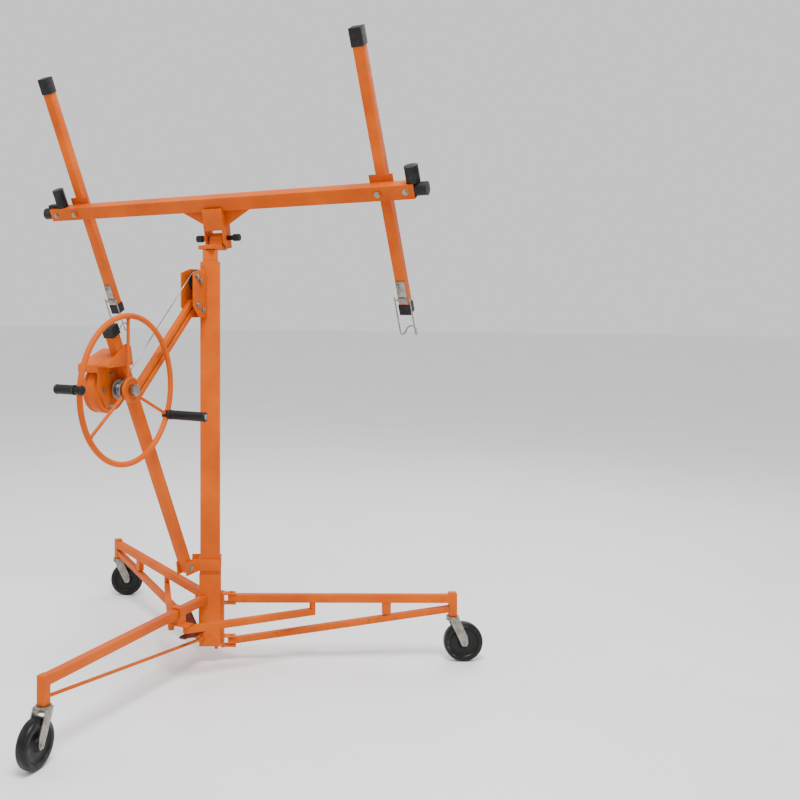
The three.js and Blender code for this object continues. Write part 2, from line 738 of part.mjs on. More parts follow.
function armTube(x) {
  const half = ARM.side / 2;
  const inner = half - ARM.wall;
  const tube = cut(
    block(x - half, x + half, ARM.n - half, ARM.n + half, -ARM.down, ARM.up),
    block(x - inner, x + inner, ARM.n - inner, ARM.n + inner, -ARM.down - 1, ARM.up + 1),
  );
  const saddle = block(x - 38, x + 38, BEAM.side / 2 + GAP, ARM.n - half + 0.6, -20, 46);
  const bolt = rod([x, -28, 0], [x, ARM.n + half, 0], ARM.boltR);
  const head = rod([x, ARM.n + half - 1, 0], [x, ARM.n + half + ARM.headRise, 0], 9, 20);
  const nut = rod([x, -29, 0], [x, -BEAM.side / 2 - GAP, 0], 9, 6);
  return inBeamFrame(fuse(tube, saddle, bolt, head, nut));
}

function armCap(x, from, to, open) {
  const half = ARM.side / 2 + CAP_WALL;
  const inner = ARM.side / 2 + GAP;
  const shell = block(x - half, x + half, ARM.n - half, ARM.n + half, from, to);
  const mouth = block(x - inner, x + inner, ARM.n - inner, ARM.n + inner, open[0], open[1]);
  return inBeamFrame(cut(shell, mouth));
}

function topCap(x) {
  const mouth = [ARM.up - TOP_CAP - 1, ARM.up + GAP];
  return armCap(x, ARM.up - TOP_CAP, ARM.up + 4, mouth);
}

function bottomCap(x) {
  const mouth = [-ARM.down - GAP, -ARM.down + BOTTOM_CAP + 1];
  return armCap(x, -ARM.down - 4, -ARM.down + BOTTOM_CAP, mouth);
}

function hookClamp(x) {
  const face = ARM.n - ARM.side / 2 - GAP;
  const plate = block(x - 15, x + 15, face - 2.5, face, HOOK.axle - 18, HOOK.axle + 62);
  const boss = rod([x - 15, HOOK.n, HOOK.axle], [x + 15, HOOK.n, HOOK.axle], 5.6, 14);
  const bore = rod([x - 20, HOOK.n, HOOK.axle], [x + 20, HOOK.n, HOOK.axle], HOOK.wireR + GAP, 12);
  return inBeamFrame(cut(fuse(plate, boss), bore));
}

// wire frame that hangs past the end of the arm and catches the sheet
function panelHook(x) {
  const w = HOOK.halfWidth;
  const at = (dx, n, z) => new THREE.Vector3(x + dx, n, z);
  const bottom = -HOOK.drop;
  const points = [
    at(-w, HOOK.n, HOOK.axle + 10),
    at(-w, HOOK.n, HOOK.axle - 4),
    at(-w, HOOK.n, bottom + 30),
    at(-w, HOOK.n + 2, bottom + 12),
    at(-w + 2, HOOK.n + 12, bottom + 2),
    at(-w + 6, HOOK.n + 26, bottom + 4),
    at(-w + 12, HOOK.n + 36, bottom + 16),
    at(0, HOOK.n + 38, bottom + 22),
    at(w - 12, HOOK.n + 36, bottom + 16),
    at(w - 6, HOOK.n + 26, bottom + 4),
    at(w - 2, HOOK.n + 12, bottom + 2),
    at(w, HOOK.n + 2, bottom + 12),
    at(w, HOOK.n, bottom + 30),
    at(w, HOOK.n, HOOK.axle - 4),
    at(w, HOOK.n, HOOK.axle + 10),
  ];
  const axle = rod([x - w, HOOK.n, HOOK.axle], [x + w, HOOK.n, HOOK.axle], HOOK.wireR, 8);
  return inBeamFrame(fuse(wire(points, HOOK.wireR, 8), axle));
}

// ---- assembly ----
addPart('mast_outer_tube', mastOuterTube(), ORANGE);
addPart('mast_socket', mastSocket(), ORANGE);
addPart('mast_middle_tube', squareTube(MIDDLE_TUBE), ORANGE);
addPart('mast_inner_tube', squareTube(INNER_TUBE), ORANGE);

addPart('pulley_plate_outer', pulleyPlate(4, 8), ORANGE);
addPart('pulley_plate_inner', pulleyPlate(-42, -38), ORANGE);
addPart('pulley_axle', pulleyAxle(), STEEL);
addPart('mast_pulley', mastPulley(), BLACK);
addPart('winch_post', winchPost(), ORANGE);
addPart('winch_post_cap', winchPostCap(), BLACK);
addPart('brace_bar_upper', braceBar(BRACE_OFFSET), ORANGE);
addPart('brace_bar_lower', braceBar(-BRACE_OFFSET), ORANGE);
addPart('post_yoke', postYoke(), ORANGE);

addPart('brake_housing', brakeHousing(), ORANGE);
addPart('winch_bearing_bracket', winchBearingBracket(), ORANGE);
addPart('winch_shaft', winchShaft(), ZINC);
addPart('cable_drum', cableDrum(), ZINC);
addPart('hand_wheel', handWheel(), ORANGE);
addPart('near_grip', grip(NEAR_GRIP), BLACK);
addPart('far_grip', grip(FAR_GRIP), BLACK);
addPart('hoist_cable', hoistCable(), STEEL);

addPart('front_leg', frontLeg(), ORANGE);
addPart('front_leg_rod', frontLegRod(), ORANGE);
addPart('latch_plate', latchPlate(), DARK_RED);
addPart('latch_pedal', latchPedal(), DARK_RED);
addPart('leg_slider', legSlider(), ORANGE);
for (const side of ['right', 'back']) {
  const angle = LEG_ANGLES[side];
  addPart(`${side}_hinge_bracket`, hingeBracket(angle), ORANGE);
  addPart(`${side}_leg_top`, foldingLegTop(angle), ORANGE);
  addPart(`${side}_leg_bottom`, foldingLegBottom(angle), ORANGE);
  addPart(`${side}_link`, linkBar(side === 'right' ? 1 : -1), ORANGE);
}
for (const side of ['right', 'back', 'front']) {
  addPart(`${side}_caster_fork`, casterFork(side), ZINC);
  addPart(`${side}_caster_wheel`, casterWheel(side), BLACK);
}

addPart('tilt_head', tiltHead(), ORANGE);
addPart('tilt_bolt', tiltBolt(), BLACK);
addPart('cradle_beam', cradleBeam(), ORANGE);
addPart('cradle_bracket', cradleBracket(), ORANGE);
addPart('left_end_stop', endStop(-646, 60), BLACK);
addPart('right_end_stop', endStop(690, 44), BLACK);
for (const [side, x] of [['left', -ARM.x], ['right', ARM.x]]) {
  addPart(`${side}_arm`, armTube(x), ORANGE);
  addPart(`${side}_arm_top_cap`, topCap(x), BLACK);
  addPart(`${side}_arm_bottom_cap`, bottomCap(x), BLACK);
  addPart(`${side}_hook_clamp`, hookClamp(x), ZINC);
  addPart(`${side}_hook`, panelHook(x), STEEL);
}

// the frame origin is the bottom centre of the whole
const bounds = new THREE.Box3().setFromObject(group);
const centre = bounds.getCenter(new THREE.Vector3());
for (const mesh of group.children) {
  mesh.geometry.translate(-centre.x, -centre.y, -bounds.min.z);
}

export default group;
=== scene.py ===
"""Looks for the drywall lift: soft-edged painted steel, plated casters, rubber, wire and cable."""

import json
import math
import random

import bmesh
import bpy
from mathutils import Matrix, Vector

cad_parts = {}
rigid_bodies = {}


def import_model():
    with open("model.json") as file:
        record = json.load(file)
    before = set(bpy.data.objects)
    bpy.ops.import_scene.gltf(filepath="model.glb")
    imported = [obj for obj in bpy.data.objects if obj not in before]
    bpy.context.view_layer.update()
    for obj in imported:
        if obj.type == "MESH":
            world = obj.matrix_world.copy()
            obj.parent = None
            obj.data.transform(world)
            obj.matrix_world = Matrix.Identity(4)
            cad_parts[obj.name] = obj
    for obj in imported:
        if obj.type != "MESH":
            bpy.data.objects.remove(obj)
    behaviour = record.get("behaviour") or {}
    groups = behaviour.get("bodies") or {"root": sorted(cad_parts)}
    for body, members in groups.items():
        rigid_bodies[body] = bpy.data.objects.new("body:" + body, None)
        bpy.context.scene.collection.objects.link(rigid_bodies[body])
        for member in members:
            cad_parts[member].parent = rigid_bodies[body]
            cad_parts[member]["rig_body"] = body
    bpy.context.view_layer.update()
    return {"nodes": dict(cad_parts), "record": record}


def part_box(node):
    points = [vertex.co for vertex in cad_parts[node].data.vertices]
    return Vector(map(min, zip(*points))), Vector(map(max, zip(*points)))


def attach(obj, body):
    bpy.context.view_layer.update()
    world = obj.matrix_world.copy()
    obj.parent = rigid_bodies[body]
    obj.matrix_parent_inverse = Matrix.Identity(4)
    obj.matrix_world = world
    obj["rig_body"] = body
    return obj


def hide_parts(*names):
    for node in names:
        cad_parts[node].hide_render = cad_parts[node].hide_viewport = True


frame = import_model()
SEED = 7
random.seed(SEED)

# ---- places, in millimetres from the mast axis, as in the CAD source ----
MM = 0.001
MAST_LOW, MAST_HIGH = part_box("mast_outer_tube")
ORIGIN = (MAST_LOW + MAST_HIGH) / 2
ORIGIN.z = 0.0
LEG_REACH = 794
LEG_ANGLES = {"right": math.radians(30), "back": math.radians(150), "front": math.radians(-90)}
TRAIL_ANGLES = {"right": math.radians(33), "back": math.radians(33), "front": math.radians(-85)}
CASTER_TRAIL = 34
WHEEL_R = 63.5
RACE_Z = 134.0
AXLE_NUT_OUT = 21.4
WINCH = (-447, 921)
WHEEL_X = 4
RIM_R = 212
RIM_TUBE_R = 8.5
HUB_R = 24
HUB_DISC_R = 37
PLATE_BOLT_X = -47.4
PLATE_BOLT_RING_R = 47
PLATE_BOLT_DEGREES = (108, 180, 252, 324)
SPOKE_R = 5
SPOKE_DEGREES = (90, 215, -25)
# Each grip: angle about the winch, radius, and its two ends along X.
GRIPS = {"near_grip": (math.radians(-25), 15, 16, 144), "far_grip": (math.radians(176), 14, -10, -78)}
PULLEY = (-70.3, 1242)
PULLEY_WRAP_R = 34.0
DRUM_WRAP_R = 20.0
DRUM_WRAP_TURN = math.radians(150)
CABLE_X = -9.74
CABLE_DOWN_Y = -36.3
CABLE_LOW_Z = 111
COIL_START_X = -27.2
COIL_LENGTH = 19
COIL_R = 16.3
COIL_TURNS = 6
CABLE_R = 1.6
STRANDS = 6
STRAND_R = 0.58
STRAND_ORBIT_R = 1.0
STRAND_PITCH = 26
BEAM = (28, 1503)
TILT = math.radians(27)
ARM_X = 582
ARM_N = 42.8
HOOK_AXLE = -372
HOOK_N = 19
HOOK_DROP = 505
HOOK_WIRE_R = 2.45
HOOK_HALF_WIDTH = 25
LEG_POST_FACE = 781.5
STRUT_FACES = (562.6, 591.4)
LEG_TUBE_LOW_Z = 191.6
LEG_TUBE_HIGH_Z = 216.4
FRONT_TUBE_LOW_Z = 196.6
FRONT_TUBE_HIGH_Z = 221.4

# ---- mesh detail ----
SMOOTH_DEGREES = 34
BEVEL_DEGREES = 38
ROUND_STEPS = 3
PATH_STEPS = 6
WASHER_RATIO = 1.45
WELD_SPACING = 1.6
WELD_WOBBLE = 0.25
RING_WELD_STEPS = 24
RIM_STEPS = 120
WRAP_STEPS = 30
SPAN_STEPS = 120
DROP_STEPS = 200
# Radius of the rounded edges in millimetres, segments, and the CAD nodes that get them.
SOFT_EDGES = (
    (3.0, 3, ("mast_outer_tube", "mast_socket", "mast_middle_tube", "mast_inner_tube", "cradle_beam")),
    (1.8, 2, (
        "winch_post", "front_leg", "right_leg_top", "back_leg_top", "right_leg_bottom", "back_leg_bottom",
        "right_link", "back_link", "left_arm", "right_arm", "brace_bar_upper", "brace_bar_lower",
    )),
    (0.7, 2, (
        "pulley_plate_outer", "pulley_plate_inner", "post_yoke", "winch_bearing_bracket", "latch_plate",
        "latch_pedal", "right_hinge_bracket", "back_hinge_bracket", "leg_slider", "tilt_head",
        "cradle_bracket", "left_hook_clamp", "right_hook_clamp", "front_leg_rod",
    )),
    (3.0, 3, (
        "winch_post_cap", "left_arm_top_cap", "right_arm_top_cap", "left_arm_bottom_cap",
        "right_arm_bottom_cap", "left_end_stop", "right_end_stop",
    )),
    (1.0, 2, ("pulley_axle", "tilt_bolt", "winch_shaft")),
)

# ---- camera, at the photograph's angle ----
CAMERA_PLACE = (1617.6, -2564.8, 1156.5)
CAMERA_TURN = math.radians(30.4)
CAMERA_LENS = 41.55
CAMERA_SHIFT = (0.2, -0.1156)
SENSOR_WIDTH = 36
CLIP_END = 100

# ---- stage, in metres from the middle of the part ----
FLOOR_HALF = 40
WORLD_STRENGTH = 0.95
LIGHT_TARGET = Vector((0, 0, 0.9))
# Each light: name, place, size and power in watts.
LIGHTS = (
    ("key", (1.4, -1.6, 5.2), 2.4, 330),
    ("fill", (-3.6, -2.4, 2.6), 3.0, 40),
    ("rim", (0.5, 3.6, 3.4), 2.5, 60),
)

# ---- paint and plating ----
PAINT_ROUGHNESS = 0.42
PAINT_SPECULAR = 0.12
MOULDED_SPECULAR = 0.25
PLATE_METALLIC = 0.9
PLATE_GRAIN = (1, 1, 18)
SCUFF_GREY = (0.10, 0.10, 0.10)


def at(x, y, z):
    """A point given in millimetres from the mast axis, in the row frame in metres."""
    return Vector((x * MM, y * MM, z * MM)) + ORIGIN


def in_beam(x, n, u):
    """A point in the tilted frame of the cradle beam."""
    y = BEAM[0] + n * math.cos(TILT) - u * math.sin(TILT)
    z = BEAM[1] + n * math.sin(TILT) + u * math.cos(TILT)
    return at(x, y, z)


BEAM_N = Vector((0, math.cos(TILT), math.sin(TILT)))
BEAM_UP = Vector((0, -math.sin(TILT), math.cos(TILT)))
AXIS_X = Vector((1, 0, 0))
AXIS_Z = Vector((0, 0, 1))


# ---- materials ----
class Nodes:
    """Short names for building a node material."""

    def __init__(self, name):
        self.material = bpy.data.materials.new(name)
        self.material.use_nodes = True
        self.tree = self.material.node_tree
        self.shader = self.tree.nodes["Principled BSDF"]
        self.coords = self.tree.nodes.new("ShaderNodeTexCoord")

    def add(self, kind, **inputs):
        """A new node with the named inputs set."""
        node = self.tree.nodes.new(kind)
        for key, value in inputs.items():
            node.inputs[key.replace("_", " ")].default_value = value
        return node

    def link(self, source, target):
        """Joins an output socket to an input socket."""
        self.tree.links.new(source, target)

    def noise(self, scale, detail=3.0, roughness=0.55, stretch=(1, 1, 1)):
        """Noise fixed to the object, stretched along its axes."""
        mapping = self.add("ShaderNodeMapping", Scale=stretch)
        self.link(self.coords.outputs["Object"], mapping.inputs["Vector"])
        node = self.add("ShaderNodeTexNoise", Scale=scale, Detail=detail, Roughness=roughness)
        self.link(mapping.outputs["Vector"], node.inputs["Vector"])
        return node.outputs["Fac"]

    def ramp(self, source, stops):
        """A colour for each value, from (place, colour) stops."""
        node = self.add("ShaderNodeValToRGB")
        elements = node.color_ramp.elements
        while len(elements) < len(stops):
            elements.new(0.5)
        for element, (place, colour) in zip(elements, stops):
            element.position = place
            element.color = (*colour, 1.0)
        self.link(source, node.inputs["Fac"])
        return node.outputs["Color"]

    def mix(self, factor, first, second):
        """Blends two colours, each given as a tuple or as a socket."""
        node = self.add("ShaderNodeMix")
        node.data_type = "RGBA"
        self.link(factor, node.inputs["Factor"])
        for socket, value in (("A", first), ("B", second)):
            slot = [i for i in node.inputs if i.name == socket and i.type == "RGBA"][0]
            if isinstance(value, tuple):
                slot.default_value = (*value, 1.0)
            else:
                self.link(value, slot)
        return [o for o in node.outputs if o.type == "RGBA"][0]

    def spread(self, source, low, high):
        """Stretches the middle of a noise over the given range."""
        node = self.add("ShaderNodeMapRange", To_Min=low, To_Max=high, From_Min=0.3, From_Max=0.7)
        self.link(source, node.inputs["Value"])
        return node.outputs["Result"]

    def bump(self, source, strength, distance):
        """Raises the surface by the source, up to the distance in metres."""
        node = self.add("ShaderNodeBump", Strength=strength, Distance=distance)
        self.link(source, node.inputs["Height"])
        self.link(node.outputs["Normal"], self.shader.inputs["Normal"])

    def edges(self, low=0.52, high=0.6):
        """White on worn outer edges, broken up by noise."""
        geometry = self.add("ShaderNodeNewGeometry")
        sharp = self.ramp(geometry.outputs["Pointiness"], [(low, (0, 0, 0)), (high, (1, 1, 1))])
        patchy = self.ramp(self.noise(55.0, 4.0, 0.7), [(0.52, (0, 0, 0)), (0.66, (1, 1, 1))])
        node = self.add("ShaderNodeMath")
        node.operation = "MULTIPLY"
        self.link(sharp, node.inputs[0])
        self.link(patchy, node.inputs[1])
        return node.outputs["Value"]


def painted(name, deep, mid, light, worn):
    """Powder coat: slow colour drift, fine orange peel, chipped edges."""
    n = Nodes(name)
    body = n.ramp(n.noise(6.0, 4.0), [(0.3, deep), (0.5, mid), (0.72, light)])
    dusty = n.mix(n.spread(n.noise(38.0, 5.0, 0.7), 0.0, 0.12), body, deep)
    n.link(n.mix(n.edges(), dusty, worn), n.shader.inputs["Base Color"])
    uneven = n.spread(n.noise(24.0, 4.0), PAINT_ROUGHNESS - 0.05, PAINT_ROUGHNESS + 0.12)
    n.link(uneven, n.shader.inputs["Roughness"])
    n.shader.inputs["Specular IOR Level"].default_value = PAINT_SPECULAR
    n.bump(n.noise(520.0, 2.0), 0.12, 0.0006)
    return n.material


def plated(name, dark, light, roughness):
    """Zinc or bright plate with a drawn grain and cloudy patches."""
    n = Nodes(name)
    cloud = n.ramp(n.noise(45.0, 5.0, 0.65), [(0.32, dark), (0.68, light)])
    n.link(cloud, n.shader.inputs["Base Color"])
    n.shader.inputs["Metallic"].default_value = PLATE_METALLIC
    grained = n.noise(160.0, 3.0, 0.6, PLATE_GRAIN)
    n.link(n.spread(grained, roughness - 0.08, roughness + 0.12), n.shader.inputs["Roughness"])
    n.bump(n.noise(420.0, 3.0, 0.6, PLATE_GRAIN), 0.15, 0.0003)
    return n.material


def moulded(name, dark, light, roughness, fine=700.0, strength=0.25):
    """Black plastic or rubber with a moulded grain and grey scuffs."""
    n = Nodes(name)
    body = n.ramp(n.noise(30.0, 5.0, 0.6), [(0.35, dark), (0.75, light)])
    scuffed = n.mix(n.edges(0.53, 0.64), body, SCUFF_GREY)
    n.link(scuffed, n.shader.inputs["Base Color"])
    n.shader.inputs["Specular IOR Level"].default_value = MOULDED_SPECULAR
    uneven = n.spread(n.noise(70.0, 4.0), roughness - 0.06, roughness + 0.12)
    n.link(uneven, n.shader.inputs["Roughness"])
    n.bump(n.noise(fine, 2.0), strength, 0.0004)
    return n.material


def floor_material():
    """Pale matt floor with a faint unevenness."""
    n = Nodes("floor_paint")
    tone = n.ramp(n.noise(1.5, 2.0), [(0.3, (0.86, 0.86, 0.86)), (0.7, (0.9, 0.9, 0.9))])
    n.link(tone, n.shader.inputs["Base Color"])
    n.link(n.spread(n.noise(8.0), 0.5, 0.6), n.shader.inputs["Roughness"])
    return n.material


MATERIALS = {
    "orange_paint": painted(
        "orange_paint",
        deep=(0.47, 0.066, 0.0002),
        mid=(0.56, 0.09, 0.0004),
        light=(0.66, 0.12, 0.0008),
        worn=(0.18, 0.09, 0.04),
    ),
    "dark_paint": painted(
        "dark_paint",
        deep=(0.07, 0.012, 0.006),
        mid=(0.10, 0.016, 0.008),
        light=(0.14, 0.022, 0.01),
        worn=(0.2, 0.12, 0.1),
    ),
    "zinc_plate": plated("zinc_plate", (0.16, 0.15, 0.125), (0.36, 0.34, 0.30), 0.38),
    "bright_wire": plated("bright_wire", (0.16, 0.155, 0.135), (0.32, 0.31, 0.28), 0.3),
    "cable_wire": plated("cable_wire", (0.14, 0.14, 0.14), (0.3, 0.3, 0.3), 0.4),
    "black_plastic": moulded("black_plastic", (0.003, 0.003, 0.003), (0.009, 0.009, 0.009), 0.42),
    "wheel_rubber": moulded(
        "wheel_rubber", (0.003, 0.003, 0.003), (0.009, 0.009, 0.0095), 0.36, 260.0, 0.2
    ),
}


def finished(obj, slot, body, *replaced):
    """Gives a piece its material, body and slot."""
    obj.data.materials.clear()
    obj.data.materials.append(MATERIALS[slot])
    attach(obj, body)
    if replaced:
        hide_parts(*replaced)


# ---- mesh helpers ----
def mesh_object(name, bm):
    """Turns a finished bmesh into an object with smooth faces and sharp edges."""
    bmesh.ops.recalc_face_normals(bm, faces=bm.faces)
    mesh = bpy.data.meshes.new(name)
    bm.to_mesh(mesh)
    bm.free()
    mesh.shade_smooth()
    mesh.set_sharp_from_angle(angle=math.radians(SMOOTH_DEGREES))
    obj = bpy.data.objects.new(name, mesh)
    bpy.context.scene.collection.objects.link(obj)
    return obj


def axis_frame(origin, axis):
    """Matrix that sends local Z to the axis and the origin to the given point."""
    return Matrix.Translation(origin) @ Vector(axis).to_track_quat("Z", "Y").to_matrix().to_4x4()


def lathe_into(bm, profile, origin, axis, steps):
    """Adds a turned solid; the profile is a closed loop of (along, radius) in millimetres."""
    place = axis_frame(origin, axis)
    rings = []
    for step in range(steps):
        angle = 2 * math.pi * step / steps
        ring = []
        for along, radius in profile:
            point = Vector((radius * math.cos(angle), radius * math.sin(angle), along)) * MM
            ring.append(bm.verts.new(place @ point))
        rings.append(ring)
    count = len(profile)
    for step in range(steps):
        here, there = rings[step], rings[(step + 1) % steps]
        for i in range(count):
            j = (i + 1) % count
            bm.faces.new((here[i], here[j], there[j], there[i]))


def rounded(profile, radius):
    """Rounds the corners of a closed (along, radius) loop."""
    out = []
    count = len(profile)
    for i in range(count):
        corner = Vector(profile[i])
        before = Vector(profile[i - 1]) - corner
        after = Vector(profile[(i + 1) % count]) - corner
        cut = min(radius, before.length * 0.45, after.length * 0.45)
        start = corner + before.normalized() * cut
        end = corner + after.normalized() * cut
        for k in range(ROUND_STEPS + 1):
            t = k / ROUND_STEPS
            point = start * (1 - t) ** 2 + corner * 2 * t * (1 - t) + end * t ** 2
            out.append((point.x, point.y))
    return out


def tube_into(bm, points, radius, sides, closed=False):
    """Sweeps a circle of the radius, in millimetres, along points in metres."""
    count = len(points)
    rings = []
    normal = None
    for i, point in enumerate(points):
        before = points[i - 1] if (i or closed) else point
        after = points[(i + 1) % count] if (i < count - 1 or closed) else point
        tangent = (after - before).normalized()
        if normal is None:
            normal = tangent.orthogonal().normalized()
        normal = (normal - tangent * normal.dot(tangent)).normalized()
        other = tangent.cross(normal)
        ring = []
        for k in range(sides):
            angle = 2 * math.pi * k / sides
            spoke = normal * math.cos(angle) + other * math.sin(angle)
            ring.append(bm.verts.new(point + spoke * radius * MM))
        rings.append(ring)
    for i in range(count if closed else count - 1):
        here, there = rings[i], rings[(i + 1) % count]
        for k in range(sides):
            bm.faces.new((here[k], here[(k + 1) % sides], there[(k + 1) % sides], there[k]))
    if not closed:
        bm.faces.new(rings[0])
        bm.faces.new(list(reversed(rings[-1])))


def softened(node, radius, segments):
    """A copy of a CAD node with rounded edges, standing for it."""
    source = frame["nodes"][node]
    bm = bmesh.new()
    bm.from_mesh(source.data)
    bmesh.ops.remove_doubles(bm, verts=bm.verts, dist=2e-5)
    bmesh.ops.dissolve_limit(bm, angle_limit=math.radians(1.0), verts=bm.verts, edges=bm.edges)
    limit = math.radians(BEVEL_DEGREES)
    sharp = [e for e in bm.edges if len(e.link_faces) == 2 and e.calc_face_angle() > limit]
    bmesh.ops.bevel(
        bm,
        geom=sharp,
        offset=radius * MM,
        segments=segments,
        profile=0.6,
        affect="EDGES",
        clamp_overlap=True,
    )
    obj = mesh_object(f"{node}_soft", bm)
    slot = next(s["material_slot"] for s in frame["record"]["subparts"] if s["node"] == node)
    finished(obj, slot, source["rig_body"], node)


def bolt_into(bm, origin, axis, across, height):
    """Hex head with a chamfered top on a round washer."""
    place = axis_frame(origin, axis)
    r = across / math.sqrt(3)
    wide = r * WASHER_RATIO
    disc = [(0, 0.2), (0, wide), (1.2, wide), (1.6, wide - 0.5), (1.6, 0.2)]
    lathe_into(bm, disc, origin, axis, 24)
    levels = [(1.6, r), (1.6 + height * 0.8, r), (1.6 + height, r * 0.84)]
    rings = []
    for along, radius in levels:
        ring = []
        for k in range(6):
            angle = math.pi / 3 * k
            point = Vector((radius * math.cos(angle), radius * math.sin(angle), along)) * MM
            ring.append(bm.verts.new(place @ point))
        rings.append(ring)
    for here, there in zip(rings, rings[1:]):
        for k in range(6):
            bm.faces.new((here[k], here[(k + 1) % 6], there[(k + 1) % 6], there[k]))
    bm.faces.new(rings[-1])
    bm.faces.new(list(reversed(rings[0])))


def bolts(name, body, places):
    """Several hex bolts in one piece: (origin, axis, across flats, head height)."""
    bm = bmesh.new()
    for origin, axis, across, height in places:
        bolt_into(bm, origin, axis, across, height)
    finished(mesh_object(name, bm), "zinc_plate", body)


def weld_into(bm, points, radius=2.2):
    """A lumpy bead along the points."""
    dense = []
    for a, b in zip(points, points[1:]):
        steps = max(2, int((b - a).length / (WELD_SPACING * MM)))
        dense += [a.lerp(b, k / steps) for k in range(steps)]
    dense.append(points[-1])
    lumpy = []
    for point in dense:
        wobble = Vector([random.uniform(-1, 1) for _ in range(3)])
        lumpy.append(point + wobble * WELD_WOBBLE * MM)
    tube_into(bm, lumpy, radius, 8)


def ring_weld_into(bm, centre, direction, ring_radius, radius):
    """A bead right round a rod that runs through the centre in the direction."""
    side = direction.orthogonal().normalized()
    ring = []
    for k in range(RING_WELD_STEPS + 1):
        swing = 2 * math.pi * k / RING_WELD_STEPS
        ring.append(centre + Matrix.Rotation(swing, 3, direction) @ side * ring_radius * MM)
    weld_into(bm, ring, radius)


# ---- pieces ----
def tubes_and_plates():
    """Rounded copies of the tubes, plates, caps and axles of the CAD model."""
    for radius, segments, nodes in SOFT_EDGES:
        for node in nodes:
            softened(node, radius, segments)


def caster(side):
    """Fork, race, axle nuts and wheel of one caster."""
    angle = LEG_ANGLES[side]
    turn = TRAIL_ANGLES[side]
    top = Vector((LEG_REACH * math.cos(angle), LEG_REACH * math.sin(angle), 0))
    along = Vector((math.cos(turn), math.sin(turn), 0))
    across = Vector((-math.sin(turn), math.cos(turn), 0))

    def point(x, y, z):
        """A point measured along and across the caster from its stem."""
        p = top + along * x + across * y
        return at(p.x, p.y, z)

    softened(f"{side}_caster_fork", 1.1, 2)
    bm = bmesh.new()
    race = [(0, 6), (0, 20.4), (1.4, 20.9), (3.4, 20.9), (4.4, 19.4), (4.4, 6)]
    lathe_into(bm, rounded(race, 0.8), point(0, 0, RACE_Z), AXIS_Z, 40)
    for sign in (1, -1):
        place = point(CASTER_TRAIL, sign * AXLE_NUT_OUT, WHEEL_R)
        bolt_into(bm, place, across * sign, 9, 2.0)
    finished(mesh_object(f"{side}_caster_race", bm), "zinc_plate", f"{side}_caster")

    bm = bmesh.new()
    tread = [(6, 63.5), (11.5, 62.6), (14.4, 60.2), (16, 57.2), (15.4, 47), (13, 45.6), (11.6, 43.5)]
    hub = [(9.6, 40), (9, 24), (10.5, 19), (14.5, 16.5), (17, 14), (17.2, 6.6)]
    tyre = tread + hub + [(-along_axle, radius) for along_axle, radius in reversed(tread + hub)]
    lathe_into(bm, tyre, point(CASTER_TRAIL, 0, WHEEL_R), across, 72)
    for sign in (1, -1):
        groove = [(sign * 16.05, 51), (sign * 16.3, 52), (sign * 15.9, 53.6), (sign * 15.4, 52.4)]
        lathe_into(bm, groove, point(CASTER_TRAIL, 0, WHEEL_R), across, 72)
    wheel = mesh_object(f"{side}_caster_tyre", bm)
    finished(wheel, "wheel_rubber", f"{side}_wheel", f"{side}_caster_wheel")


def about_winch(x, radius, angle):
    """A point at a radius and angle about the winch axis."""
    return at(x, WINCH[0] + radius * math.cos(angle), WINCH[1] + radius * math.sin(angle))


def hand_wheel():
    """Rim, spokes and welded hub, then the grip pins and the clamps at their feet."""
    bm = bmesh.new()
    ring = [about_winch(WHEEL_X, RIM_R, 2 * math.pi * k / RIM_STEPS) for k in range(RIM_STEPS)]
    tube_into(bm, ring, RIM_TUBE_R, 16, closed=True)
    for degrees in SPOKE_DEGREES:
        angle = math.radians(degrees)
        tube_into(bm, [about_winch(WHEEL_X, r, angle) for r in (18, 60, 120, RIM_R)], SPOKE_R, 14)
        for radius in (HUB_R + 0.5, RIM_R - RIM_TUBE_R - 1):
            centre = about_winch(WHEEL_X, radius, angle)
            direction = (about_winch(WHEEL_X, radius + 1, angle) - centre).normalized()
            ring_weld_into(bm, centre, direction, SPOKE_R + 0.2, 1.5)
    hub = rounded([(-6.5, 10.6), (-6.5, HUB_R), (6.5, HUB_R + 2), (6.5, 10.6)], 1.6)
    lathe_into(bm, hub, at(WHEEL_X, *WINCH), AXIS_X, 48)
    disc = rounded(
        [(6.5, 10.6), (6.5, HUB_DISC_R), (13.5, HUB_DISC_R), (13.5, 31), (11, 28), (11, 10.6)], 1.2
    )
    lathe_into(bm, disc, at(WHEEL_X, *WINCH), AXIS_X, 56)
    finished(mesh_object("hand_wheel_smooth", bm), "orange_paint", "winch_rotor", "hand_wheel")

    pins = bmesh.new()
    clamps = bmesh.new()
    for angle, _, _, far in GRIPS.values():
        tip = far + math.copysign(2.4, far)
        start = about_winch(WHEEL_X, RIM_R, angle)
        end = about_winch(tip, RIM_R, angle)
        tube_into(pins, [start, end], SPOKE_R, 16)
        axis = (end - start).normalized()
        head = rounded([(-1.6, 0.3), (-1.6, 8.6), (0.4, 8.2), (0.6, 0.3)], 0.6)
        lathe_into(pins, head, end, axis, 24)
        collar = rounded([(-11, 0.5), (-11, 12.6), (10.6, 14), (10.6, 0.5)], 2.5)
        lathe_into(clamps, collar, start, axis, 28)
    finished(mesh_object("grip_pins", pins), "zinc_plate", "winch_rotor")
    finished(mesh_object("grip_clamps", clamps), "black_plastic", "winch_rotor")


